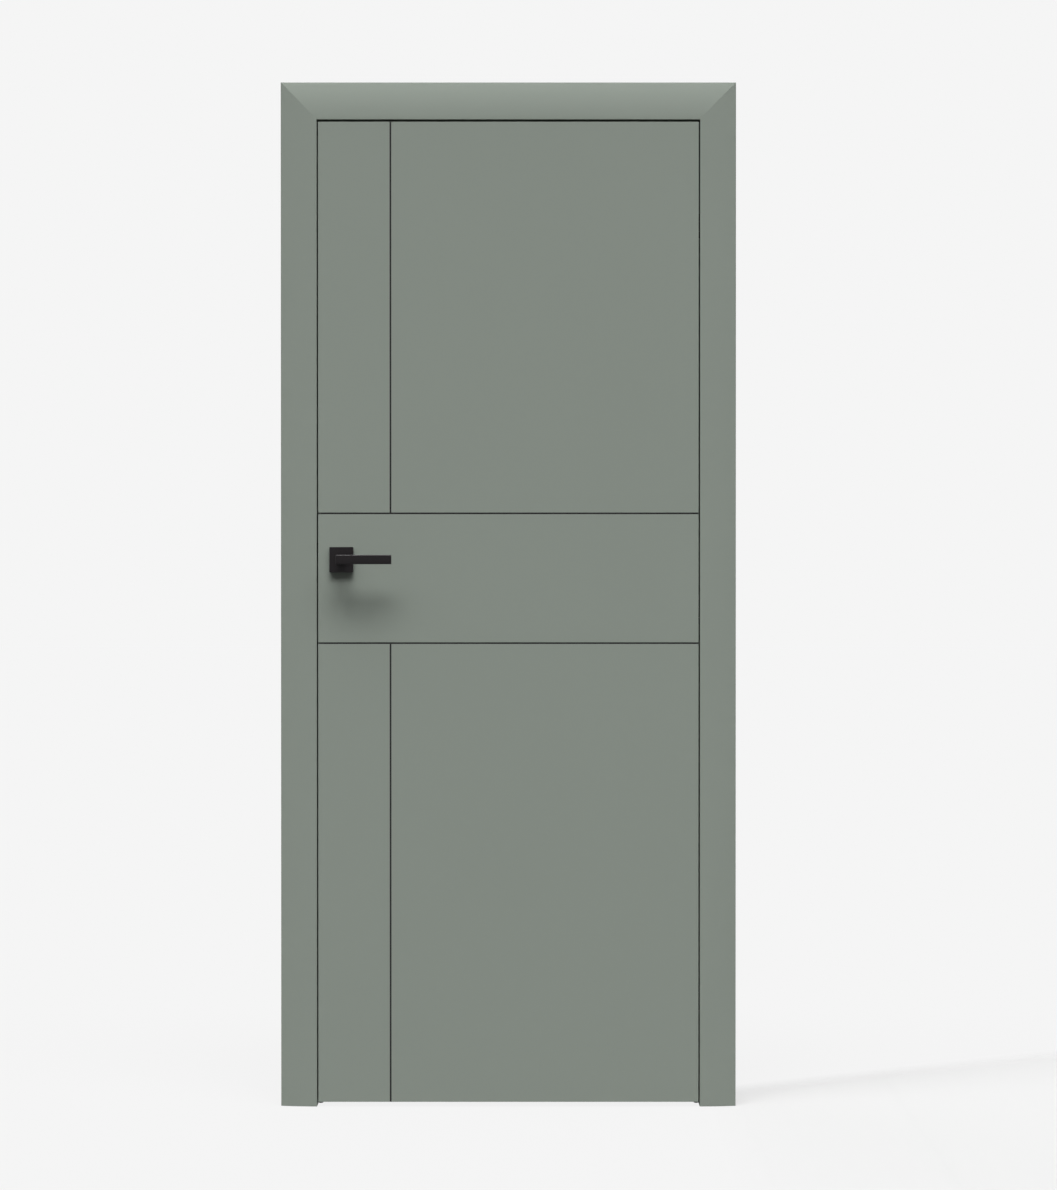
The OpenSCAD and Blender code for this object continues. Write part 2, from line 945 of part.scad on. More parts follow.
module hinge_leaf_screws() {
    color("#b8b8b4")
        for (i = [0, 1, 2])
            at_hinge_leaf(i)
                hinge_screws_at();
}

module hinge_leaf_arms() {
    color("#a8a8a6")
        for (i = [0, 1, 2])
            at_hinge_leaf(i)
                middle_arm();
}

module skin_front() {
    color("#818881")
        skin();
}

module skin_rear() {
    color("#818881")
        rear_side()
            skin();
}

module lock_stile() {
    color("#c8a878")
        difference() {
            translate([-leaf_x, skin_t, floor_gap])
                cube([stile_w, core_t, leaf_h]);
            lock_recess();
            handle_bores();
        }
}

module hinge_stile() {
    color("#c8a878")
        difference() {
            translate([leaf_x - stile_w, skin_t, floor_gap])
                cube([stile_w, core_t, leaf_h]);
            for (i = [0, 1, 2])
                at_hinge_leaf(i)
                    hinge_recess();
        }
}

module top_rail() {
    color("#c8a878")
        translate([-leaf_x + stile_w, skin_t, leaf_top - top_rail_h])
            cube([core_w, core_t, top_rail_h]);
}

module bottom_rail() {
    color("#c8a878")
        translate([-leaf_x + stile_w, skin_t, floor_gap])
            cube([core_w, core_t, bottom_rail_h]);
}

module lock_block() {
    color("#c8a878")
        difference() {
            translate([-leaf_x + stile_w, skin_t, handle_z - lock_block_h / 2])
                cube([lock_block_w, core_t, lock_block_h]);
            lock_recess();
            handle_bores();
        }
}

module core() {
    color("#b89868")
        difference() {
            translate([-leaf_x + stile_w, skin_t, core_z])
                cube([core_w, core_t, core_h]);
            translate([-leaf_x + stile_w - 1, skin_t - 1, handle_z - lock_block_h / 2])
                cube([lock_block_w + 1, core_t + 2, lock_block_h]);
            for (i = [1 : tube_n])
                translate([(i - (tube_n + 1) / 2) * (tube_d + tube_web), leaf_t / 2, core_z - 1])
                    cylinder(h = core_h + 2, d = tube_d);
        }
}

module inlay_front_upper() {
    color("#181616")
        inlay_cross(upper_z, inlay_sunk, inlay_groove);
}

module inlay_front_lower() {
    color("#181616")
        inlay_cross(lower_z, inlay_sunk, inlay_groove);
}

module inlay_front_upright_top() {
    color("#181616")
        inlay_upright(upper_z + inlay_w / 2, leaf_top, inlay_sunk, inlay_groove);
}

module inlay_front_upright_foot() {
    color("#181616")
        inlay_upright(floor_gap, lower_z - inlay_w / 2, inlay_sunk, inlay_groove);
}

module inlay_rear_upper() {
    color("#181616")
        rear_side()
            inlay_cross(upper_z, inlay_sunk, inlay_groove);
}

module inlay_rear_lower() {
    color("#181616")
        rear_side()
            inlay_cross(lower_z, inlay_sunk, inlay_groove);
}

module inlay_rear_upright_top() {
    color("#181616")
        rear_side()
            inlay_upright(upper_z + inlay_w / 2, leaf_top, inlay_sunk, inlay_groove);
}

module inlay_rear_upright_foot() {
    color("#181616")
        rear_side()
            inlay_upright(floor_gap, lower_z - inlay_w / 2, inlay_sunk, inlay_groove);
}

module lock_case() {
    color("#a8a8a6")
        difference() {
            translate([case_x, lock_y - case_t / 2, handle_z - case_h / 2])
                cube([backset - forend_t + case_back, case_t, case_h]);
            translate([case_x + case_wall, lock_y - case_in / 2, handle_z - case_h / 2 + case_wall])
                cube([backset - forend_t + case_back - 2 * case_wall, case_in, case_h - 2 * case_wall]);
            translate([case_x - 1, lock_y - latch_t / 2 - slide, latch_z - latch_h / 2 - slide])
                cube([case_wall + 2, latch_t + 2 * slide, latch_h + 2 * slide]);
            translate([lever_x, lock_y - case_t, handle_z])
                bar_y(follower_hub_d + 2 * run, 2 * case_t);
            for (s = [-1, 1])
                translate([lever_x + s * rose_bolt_pitch / 2, lock_y - case_t, handle_z])
                    bar_y(rose_bolt_d + 1, 2 * case_t);
        }
}

module lock_forend() {
    color("#b8b8b4")
        difference() {
            translate([-leaf_x, lock_y, handle_z])
                along_x(forend_t)
                    round_rect(forend_w, forend_h, forend_w / 2 - 1);
            translate([-leaf_x - 1, lock_y - latch_t / 2 - slide, latch_z - latch_h / 2 - slide])
                cube([forend_t + 2, latch_t + 2 * slide, latch_h + 2 * slide]);
            lock_screws_at();
        }
}

module lock_screws() {
    color("#b8b8b4")
        lock_screws_at();
}

// Latch with a bevelled head, a tail over the follower and a lug that the follower pushes
module latch_bolt() {
    color("#c8c8c4") {
        translate([-leaf_x, lock_y, latch_z - latch_h / 2])
            linear_extrude(height = latch_h)
                polygon([[-latch_out, -latch_t / 2], [-latch_out, -latch_t / 2 + latch_tip], [-slide, latch_t / 2],
                    [latch_in, latch_t / 2], [latch_in, -latch_t / 2]]);
        translate([-leaf_x + latch_in - tail_t / 2, lock_y - tail_t / 2, tail_z])
            cube([backset - latch_in + tail_t + lug_w, tail_t, tail_h]);
        translate([lever_x + tail_t / 2 + slide, lock_y - tail_t / 2, handle_z + follower_d / 2 + layer_gap])
            cube([lug_w - slide, tail_t, tail_z + tail_h / 2 - handle_z - follower_d / 2 - layer_gap]);
    }
}

module rose_front() {
    color("#242224")
        rose_cover();
}

module rose_rear() {
    color("#242224")
        rear_side()
            rose_cover();
}

module rose_base_front() {
    color("#505050")
        difference() {
            rose_plate();
            rose_bolts_at();
        }
}

module rose_base_rear() {
    color("#505050")
        difference() {
            rear_side()
                rose_plate();
            rose_bolts_at();
        }
}

module rose_bolts() {
    color("#b8b8b4")
        rose_bolts_at();
}

module lever_front() {
    color("#242224")
        lever();
}

module lever_rear() {
    color("#242224")
        rear_side()
            lever();
}

module spindle() {
    color("#b8b8b4")
        translate([lever_x - spindle_w / 2, -spindle_in + fit, handle_z - spindle_w / 2])
            cube([spindle_w, leaf_t + 2 * spindle_in - 2 * fit, spindle_w]);
}

// Follower disc with hubs in the case walls and an arm under the latch tail
module follower() {
    color("#c8c8c4")
        difference() {
            union() {
                translate([lever_x, lock_y - case_in / 2 + layer_gap, handle_z])
                    bar_y(follower_d, case_in - 2 * layer_gap);
                translate([lever_x, lock_y - case_t / 2, handle_z])
                    bar_y(follower_hub_d, case_t);
                translate([lever_x - tail_t / 2, lock_y - tail_t / 2, handle_z])
                    cube([tail_t, tail_t, follower_arm]);
                translate([lever_x, lock_y - tail_t / 2, handle_z + follower_arm])
                    bar_y(tail_t, tail_t);
            }
            translate([lever_x - spindle_w / 2 - fit / 2, -1, handle_z - spindle_w / 2 - fit / 2])
                cube([spindle_w + fit, leaf_t + 2, spindle_w + fit]);
        }
}

module lever_grub_screws() {
    color("#606060") {
        grub_at();
        rear_side()
            grub_at();
    }
}

lining_left();
lining_right();
lining_head();
casing_front_left();
casing_front_right();
casing_front_head();
casing_rear_left();
casing_rear_right();
casing_rear_head();
seal_left();
seal_right();
seal_head();
corner_screws();
strike_plate();
strike_box();
strike_screws();
hinge_frame_top();
hinge_frame_middle();
hinge_frame_bottom();
hinge_frame_pins();
hinge_frame_screws();
hinge_frame_arms();
hinge_centre_pins();
hinge_leaf_top();
hinge_leaf_middle();
hinge_leaf_bottom();
hinge_leaf_pins();
hinge_leaf_screws();
hinge_leaf_arms();
skin_front();
skin_rear();
lock_stile();
hinge_stile();
top_rail();
bottom_rail();
lock_block();
core();
inlay_front_upper();
inlay_front_lower();
inlay_front_upright_top();
inlay_front_upright_foot();
inlay_rear_upper();
inlay_rear_lower();
inlay_rear_upright_top();
inlay_rear_upright_foot();
lock_case();
lock_forend();
lock_screws();
latch_bolt();
rose_front();
rose_rear();
rose_base_front();
rose_base_rear();
rose_bolts();
lever_front();
lever_rear();
spindle();
follower();
lever_grub_screws();
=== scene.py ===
"""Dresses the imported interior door: finishes, eased edges, screw heads, light and camera."""

import logging
import math
from dataclasses import dataclass
from enum import Enum
from typing import Sequence

import bmesh
import bpy
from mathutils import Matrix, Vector


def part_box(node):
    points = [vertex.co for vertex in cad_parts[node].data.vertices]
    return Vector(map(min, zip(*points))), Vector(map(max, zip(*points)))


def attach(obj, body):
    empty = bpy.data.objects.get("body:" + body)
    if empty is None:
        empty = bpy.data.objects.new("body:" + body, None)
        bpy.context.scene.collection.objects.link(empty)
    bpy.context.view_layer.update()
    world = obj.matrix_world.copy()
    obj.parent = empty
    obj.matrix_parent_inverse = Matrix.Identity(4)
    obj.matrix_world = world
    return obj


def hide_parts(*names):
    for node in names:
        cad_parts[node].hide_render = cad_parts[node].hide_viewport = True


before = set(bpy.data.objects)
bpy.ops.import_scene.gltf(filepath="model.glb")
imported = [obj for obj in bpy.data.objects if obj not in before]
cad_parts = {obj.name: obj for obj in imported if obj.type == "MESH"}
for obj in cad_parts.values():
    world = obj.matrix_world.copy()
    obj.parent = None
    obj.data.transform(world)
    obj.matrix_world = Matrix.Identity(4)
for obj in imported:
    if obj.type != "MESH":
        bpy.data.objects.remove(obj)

LOG = logging.getLogger("door")
Colour = tuple[float, float, float]
Span = tuple[float, float]
Spot = tuple[float, float, float]
Material = bpy.types.Material
Piece = bpy.types.Object
Socket = bpy.types.NodeSocket
WHOLE: Span = (0.0, 1.0)
NOISE: Span = (0.3, 0.7)  # where most values of a noise texture lie


def grey(value: float) -> tuple[float, ...]:
    """A neutral colour with full alpha."""
    return (value, value, value, 1.0)


def toned(colour: Colour, factor: float) -> Colour:
    """A colour made darker or lighter by a factor."""
    return tuple(c * factor for c in colour)


class Wiring:
    """Adds and links the nodes of one tree."""

    def __init__(self, tree: bpy.types.NodeTree) -> None:
        """Starts with an empty tree.

        Args:
            tree: the tree to fill.
        """
        self.tree = tree
        tree.nodes.clear()

    def add(self, kind: str) -> bpy.types.Node:
        """Adds a node of that kind and returns it."""
        return self.tree.nodes.new(kind)

    def join(self, source: Socket, target: Socket) -> None:
        """Links one socket to another."""
        self.tree.links.new(source, target)

    def sum(self, kind: str, a: Socket | float, b: Socket | float) -> Socket:
        """Adds a Math node.

        Args:
            kind: the operation.
            a: first value or socket.
            b: second value or socket.

        Returns:
            The result socket.
        """
        node = self.add("ShaderNodeMath")
        node.operation = kind
        for slot, value in zip(node.inputs, (a, b)):
            if isinstance(value, Socket):
                self.join(value, slot)
            else:
                slot.default_value = value
        return node.outputs[0]

    def between(
        self, value: Socket, span: Span, source: Span = NOISE, soft: bool = False
    ) -> Socket:
        """Maps a value from one span to another.

        Args:
            value: the socket to map.
            span: low and high of the result.
            source: low and high of the value.
            soft: True for a smooth start and end.

        Returns:
            The mapped socket.
        """
        node = self.add("ShaderNodeMapRange")
        if soft:
            node.interpolation_type = "SMOOTHSTEP"
        self.join(value, node.inputs["Value"])
        node.inputs["From Min"].default_value = source[0]
        node.inputs["From Max"].default_value = source[1]
        node.inputs["To Min"].default_value = span[0]
        node.inputs["To Max"].default_value = span[1]
        return node.outputs["Result"]


class Sketch(Wiring):
    """A material under construction: one shader fed from Object coordinates."""

    EASE_SAMPLES = 4

    def __init__(self, name: str) -> None:
        """Starts an empty material.

        Args:
            name: the material's name.
        """
        self.material = bpy.data.materials.new(name)
        self.material.use_nodes = True
        super().__init__(self.material.node_tree)
        self.shader = self.add("ShaderNodeBsdfPrincipled")
        end = self.add("ShaderNodeOutputMaterial")
        self.join(self.shader.outputs["BSDF"], end.inputs["Surface"])
        self.place = self.add("ShaderNodeTexCoord")

    def stretched(self, scale: Spot) -> Socket:
        """Object coordinates multiplied by scale, so that a pattern runs along one axis."""
        node = self.add("ShaderNodeMapping")
        node.inputs["Scale"].default_value = scale
        self.join(self.place.outputs["Object"], node.inputs["Vector"])
        return node.outputs["Vector"]

    def grain(self, scale: float, detail: float = 2.0, along: Spot | None = None) -> Socket:
        """Soft random mottling from 0 to 1.

        Args:
            scale: spots to the metre.
            detail: how much finer structure it carries.
            along: optional stretch of the coordinates.

        Returns:
            The value socket.
        """
        node = self.add("ShaderNodeTexNoise")
        node.inputs["Scale"].default_value = scale
        node.inputs["Detail"].default_value = detail
        source = self.stretched(along) if along else self.place.outputs["Object"]
        self.join(source, node.inputs["Vector"])
        return node.outputs[0]

    def chips(self, scale: float) -> Socket:
        """Random flat value for each cell of a chip pattern."""
        node = self.add("ShaderNodeTexVoronoi")
        node.inputs["Scale"].default_value = scale
        self.join(self.place.outputs["Object"], node.inputs["Vector"])
        split = self.add("ShaderNodeSeparateColor")
        self.join(node.outputs["Color"], split.inputs[0])
        return split.outputs[0]

    def tint(self, factor: Socket, low: Colour | Socket, high: Colour | Socket) -> Socket:
        """Blends two colours.

        Args:
            factor: 0 gives low, 1 gives high.
            low: a colour or a colour socket.
            high: a colour or a colour socket.

        Returns:
            The colour socket.
        """
        node = self.add("ShaderNodeMix")
        node.data_type = "RGBA"
        self.join(factor, node.inputs[0])
        for slot, value in ((node.inputs[6], low), (node.inputs[7], high)):
            if isinstance(value, Socket):
                self.join(value, slot)
            else:
                slot.default_value = (*value, 1.0)
        return node.outputs[2]

    def relief(self, height: Socket, depth: float, edge: float = 0.0) -> None:
        """Gives the surface a relief and eased edges.

        Args:
            height: the relief, from 0 to 1.
            depth: its depth in metres.
            edge: radius of the eased edges in metres, or 0 for none.
        """
        node = self.add("ShaderNodeBump")
        node.inputs["Strength"].default_value = 1.0
        node.inputs["Distance"].default_value = depth
        self.join(height, node.inputs["Height"])
        if edge:
            ease = self.add("ShaderNodeBevel")
            ease.samples = self.EASE_SAMPLES
            ease.inputs["Radius"].default_value = edge
            self.join(ease.outputs["Normal"], node.inputs["Normal"])
        self.join(node.outputs["Normal"], self.shader.inputs["Normal"])

    def feed(self, name: str, value: Socket | float) -> None:
        """Sets a shader input to a value, or links it to a socket."""
        slot = self.shader.inputs[name]
        if isinstance(value, Socket):
            self.join(value, slot)
        else:
            slot.default_value = value


class Bare(Enum):
    """Which faces of a lacquered piece are left as raw board."""

    NONE = "none"
    OUTSIDE = "outside"
    FRONT_BACK = "front_back"
    REAR_BACK = "rear_back"


@dataclass(frozen=True)
class Lacquer:
    """Silk-matt lacquer on fibreboard, with the faces towards the wall left raw.

    A lining is raw beyond outside in X and Z, and a casing is raw past wall in Y: the first
    value is for the front casings, the second for the rear ones.
    """

    name: str
    tone: Colour = (0.209, 0.2349, 0.207)
    bare: Bare = Bare.NONE
    outside: Span = (0.4459, 2.1501)
    wall: Span = (0.0159, 0.1161)
    drift: Span = (0.994, 1.006)
    drift_spots: float = 3.0
    gloss: Span = (0.6, 0.68)
    gloss_spots: float = 60.0
    shine: float = 0.08
    peel_spots: float = 420.0
    peel_depth: float = 0.00002
    edge: float = 0.0007
    board: Colour = (0.30, 0.205, 0.125)
    fibre: Span = (0.8, 1.2)
    fibre_spots: float = 900.0
    board_roughness: float = 0.85

    def mask(self, s: Sketch) -> Socket:
        """Value that is 1 on the raw faces.

        Args:
            s: the material under construction.

        Returns:
            The mask socket.
        """
        split = s.add("ShaderNodeSeparateXYZ")
        s.join(s.place.outputs["Object"], split.inputs[0])
        if self.bare is Bare.OUTSIDE:
            side = s.sum("GREATER_THAN", s.sum("ABSOLUTE", split.outputs[0], 0.0), self.outside[0])
            return s.sum("MAXIMUM", side, s.sum("GREATER_THAN", split.outputs[2], self.outside[1]))
        if self.bare is Bare.FRONT_BACK:
            return s.sum("GREATER_THAN", split.outputs[1], self.wall[0])
        return s.sum("LESS_THAN", split.outputs[1], self.wall[1])

    def material(self) -> Material:
        """Builds the lacquer and returns it."""
        s = Sketch(self.name)
        drift = s.between(s.grain(self.drift_spots, 3.0), WHOLE)
        colour = s.tint(drift, *(toned(self.tone, f) for f in self.drift))
        peel = s.grain(self.peel_spots, 1.0)
        gloss = s.between(s.grain(self.gloss_spots, 3.0), self.gloss)
        if self.bare is not Bare.NONE:
            raw = self.mask(s)
            fibre = s.between(s.grain(self.fibre_spots, 4.0), WHOLE)
            board = s.tint(fibre, *(toned(self.board, f) for f in self.fibre))
            colour = s.tint(raw, colour, board)
            gloss = s.sum("MAXIMUM", gloss, s.sum("MULTIPLY", raw, self.board_roughness))
        s.feed("Base Color", colour)
        s.feed("Roughness", gloss)
        s.feed("Specular IOR Level", self.shine)
        s.relief(peel, self.peel_depth, self.edge)
        return s.material


@dataclass(frozen=True)
class PowderCoat:
    """Fine matt black powder coat on cast metal."""

    name: str = "matt_black_coat"
    tone: Colour = (0.0054, 0.0043, 0.0049)
    gloss: Span = (0.35, 0.43)
    gloss_spots: float = 260.0
    shine: float = 0.18
    speck: float = 1.5
    speck_spots: float = 1800.0
    depth: float = 0.00003

    def material(self) -> Material:
        """Builds the coat and returns it."""
        s = Sketch(self.name)
        speck = s.grain(self.speck_spots)
        mix = s.between(speck, WHOLE)
        s.feed("Base Color", s.tint(mix, self.tone, toned(self.tone, self.speck)))
        s.feed("Roughness", s.between(s.grain(self.gloss_spots), self.gloss))
        s.feed("Specular IOR Level", self.shine)
        s.relief(speck, self.depth)
        return s.material


@dataclass(frozen=True)
class Strip:
    """Matt black inlay strip with a faint drawn texture."""

    name: str = "black_inlay"
    tone: Colour = (0.0045, 0.004, 0.0045)
    light: float = 1.6
    gloss: Span = (0.5, 0.62)
    shine: float = 0.2
    spots: float = 700.0
    along: Spot = (1.0, 1.0, 0.08)
    depth: float = 0.00001

    def material(self) -> Material:
        """Builds the strip finish and returns it."""
        s = Sketch(self.name)
        drawn = s.grain(self.spots, along=self.along)
        s.feed("Base Color", s.tint(drawn, self.tone, toned(self.tone, self.light)))
        s.feed("Roughness", s.between(drawn, self.gloss))
        s.feed("Specular IOR Level", self.shine)
        s.relief(drawn, self.depth)
        return s.material


@dataclass(frozen=True)
class Plated:
    """Satin metal: brushed along one axis, or fine grained for castings."""

    name: str
    tone: Colour
    gloss: Span = (0.26, 0.38)
    along: Spot = (1.0, 1.0, 0.04)
    dark: float = 0.88
    spots: float = 1400.0
    depth: float = 0.000012
    edge: float = 0.0003

    def material(self) -> Material:
        """Builds the metal and returns it."""
        s = Sketch(self.name)
        brush = s.grain(self.spots, 3.0, self.along)
        s.feed("Base Color", s.tint(brush, toned(self.tone, self.dark), self.tone))
        s.feed("Metallic", 1.0)
        s.feed("Roughness", s.between(brush, self.gloss))
        s.relief(brush, self.depth, self.edge)
        return s.material


@dataclass(frozen=True)
class Rubber:
    """Matt black seal rubber."""

    name: str = "seal_rubber"
    tone: Colour = (0.016, 0.016, 0.017)
    light: float = 1.7
    gloss: Span = (0.62, 0.78)
    shine: float = 0.3
    spots: float = 300.0
    depth: float = 0.00002

    def material(self) -> Material:
        """Builds the rubber and returns it."""
        s = Sketch(self.name)
        bloom = s.grain(self.spots, 3.0)
        s.feed("Base Color", s.tint(bloom, self.tone, toned(self.tone, self.light)))
        s.feed("Roughness", s.between(bloom, self.gloss))
        s.feed("Specular IOR Level", self.shine)
        s.relief(bloom, self.depth)
        return s.material


@dataclass(frozen=True)
class Chipboard:
    """Pressed wood chips, raw."""

    name: str = "chipboard"
    tone: Colour = (0.42, 0.29, 0.16)
    shades: Span = (0.6, 1.25)
    roughness: float = 0.85
    spots: float = 380.0
    depth: float = 0.0002

    def material(self) -> Material:
        """Builds the board and returns it."""
        s = Sketch(self.name)
        chip = s.chips(self.spots)
        s.feed("Base Color", s.tint(chip, *(toned(self.tone, f) for f in self.shades)))
        s.feed("Roughness", self.roughness)
        s.relief(chip, self.depth)
        return s.material


@dataclass(frozen=True)
class Softwood:
    """Raw softwood with an upright grain."""

    name: str = "softwood"
    tone: Colour = (0.52, 0.36, 0.19)
    dark: float = 0.7
    gloss: Span = (0.6, 0.75)
    spots: float = 160.0
    along: Spot = (1.0, 1.0, 0.03)
    depth: float = 0.0001

    def material(self) -> Material:
        """Builds the wood and returns it."""
        s = Sketch(self.name)
        ring = s.grain(self.spots, 4.0, self.along)
        mix = s.between(ring, WHOLE)
        s.feed("Base Color", s.tint(mix, toned(self.tone, self.dark), self.tone))
        s.feed("Roughness", s.between(ring, self.gloss))
        s.relief(ring, self.depth)
        return s.material


@dataclass(frozen=True)
class Moulded:
    """Dark moulded plastic with a fine spark texture."""

    name: str = "moulded_plastic"
    tone: Colour = (0.03, 0.03, 0.031)
    light: float = 1.4
    gloss: Span = (0.48, 0.6)
    spots: float = 1500.0
    depth: float = 0.00003

    def material(self) -> Material:
        """Builds the plastic and returns it."""
        s = Sketch(self.name)
        spark = s.grain(self.spots)
        s.feed("Base Color", s.tint(spark, self.tone, toned(self.tone, self.light)))
        s.feed("Roughness", s.between(spark, self.gloss))
        s.relief(spark, self.depth)
        return s.material


class Finishes:
    """The materials of the whole door, each built once."""

    def __init__(self) -> None:
        """Builds every material."""
        self.leaf = Lacquer("lacquer_leaf").material()
        self.lining = Lacquer("lacquer_lining", bare=Bare.OUTSIDE).material()
        self.front_casing = Lacquer("lacquer_front_casing", bare=Bare.FRONT_BACK).material()
        self.rear_casing = Lacquer("lacquer_rear_casing", bare=Bare.REAR_BACK).material()
        self.black = PowderCoat().material()
        dark = PowderCoat("black_coated_steel", (0.011, 0.0105, 0.011), (0.42, 0.54))
        self.coated = dark.material()
        self.inlay = Strip().material()
        self.steel = Plated("satin_steel", (0.62, 0.61, 0.59)).material()
        zinc = Plated("bright_zinc", (0.66, 0.66, 0.65), (0.3, 0.42), (1.0, 1.0, 1.0))
        self.zinc = zinc.material()
        self.rubber = Rubber().material()
        self.chipboard = Chipboard().material()
        self.softwood = Softwood().material()
        self.plastic = Moulded().material()


def paint(material: Material, *nodes: str) -> None:
    """Gives CAD nodes a material.

    Args:
        material: the finish.
        nodes: names of the nodes.
    """
    for name in nodes:
        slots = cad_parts[name].data.materials
        slots.clear()
        slots.append(material)


def evaluated(piece: Piece) -> None:
    """Replaces a piece's mesh by its evaluated one and removes its modifiers."""
    graph = bpy.context.evaluated_depsgraph_get()
    mesh = bpy.data.meshes.new_from_object(
        piece.evaluated_get(graph), preserve_all_data_layers=True, depsgraph=graph
    )
    piece.modifiers.clear()
    piece.data = mesh


def shown(name: str, mesh: bpy.types.Mesh) -> Piece:
    """Puts a mesh into the scene as an object of that name and returns it."""
    piece = bpy.data.objects.new(name, mesh)
    bpy.context.scene.collection.objects.link(piece)
    return piece


def levelled(piece: Piece, smooth: float) -> None:
    """Shades a piece smoothly, with its flat faces flat.

    Args:
        piece: the piece.
        smooth: edges that turn by more degrees than this stay sharp.
    """
    piece.data.set_sharp_from_angle(angle=math.radians(smooth))
    level = piece.modifiers.new("level", "WEIGHTED_NORMAL")
    level.keep_sharp = True
    evaluated(piece)


@dataclass(frozen=True)
class Eased:
    """A rigid piece taken from its solid, with its sharp edges rounded.

    Lengths are in metres. Faces that turn by less than flat radians are joined first. Edges
    that turn by more than corner degrees are rounded, and those that still turn by more
    than smooth degrees stay sharp in the shading.
    """

    node: str
    body: str
    slot: str
    radius: float
    steps: int = 4
    merge: float = 0.000002
    flat: float = 0.004
    corner: float = 55.0
    smooth: float = 29.0

    def copied(self) -> bpy.types.Mesh:
        """The solid's mesh with shared corners and undivided flat faces."""
        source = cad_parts[self.node].data
        work = bmesh.new()
        spots = [work.verts.new(v.co) for v in source.vertices]
        for face in source.polygons:
            work.faces.new([spots[i] for i in face.vertices])
        bmesh.ops.remove_doubles(work, verts=work.verts, dist=self.merge)
        bmesh.ops.dissolve_limit(
            work, angle_limit=self.flat, verts=work.verts, edges=work.edges
        )
        bmesh.ops.recalc_face_normals(work, faces=work.faces)
        mesh = bpy.data.meshes.new(f"eased_{self.node}")
        work.to_mesh(mesh)
        work.free()
        mesh.polygons.foreach_set("use_smooth", [True] * len(mesh.polygons))
        return mesh

    def build(self, material: Material) -> Piece:
        """Builds the piece in place of its CAD node.

        Args:
            material: the finish.

        Returns:
            The finished piece.
        """
        mesh = self.copied()
        mesh.materials.append(material)
        piece = shown(f"eased_{self.node}", mesh)
        ease = piece.modifiers.new("ease", "BEVEL")
        ease.width = self.radius
        ease.segments = self.steps
        ease.limit_method = "ANGLE"
        ease.angle_limit = math.radians(self.corner)
        ease.use_clamp_overlap = False
        ease.loop_slide = False
        evaluated(piece)
        levelled(piece, self.smooth)
        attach(piece, self.body)
        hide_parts(self.node)
        LOG.info("eased %s: %d faces", self.node, len(piece.data.polygons))
        return piece


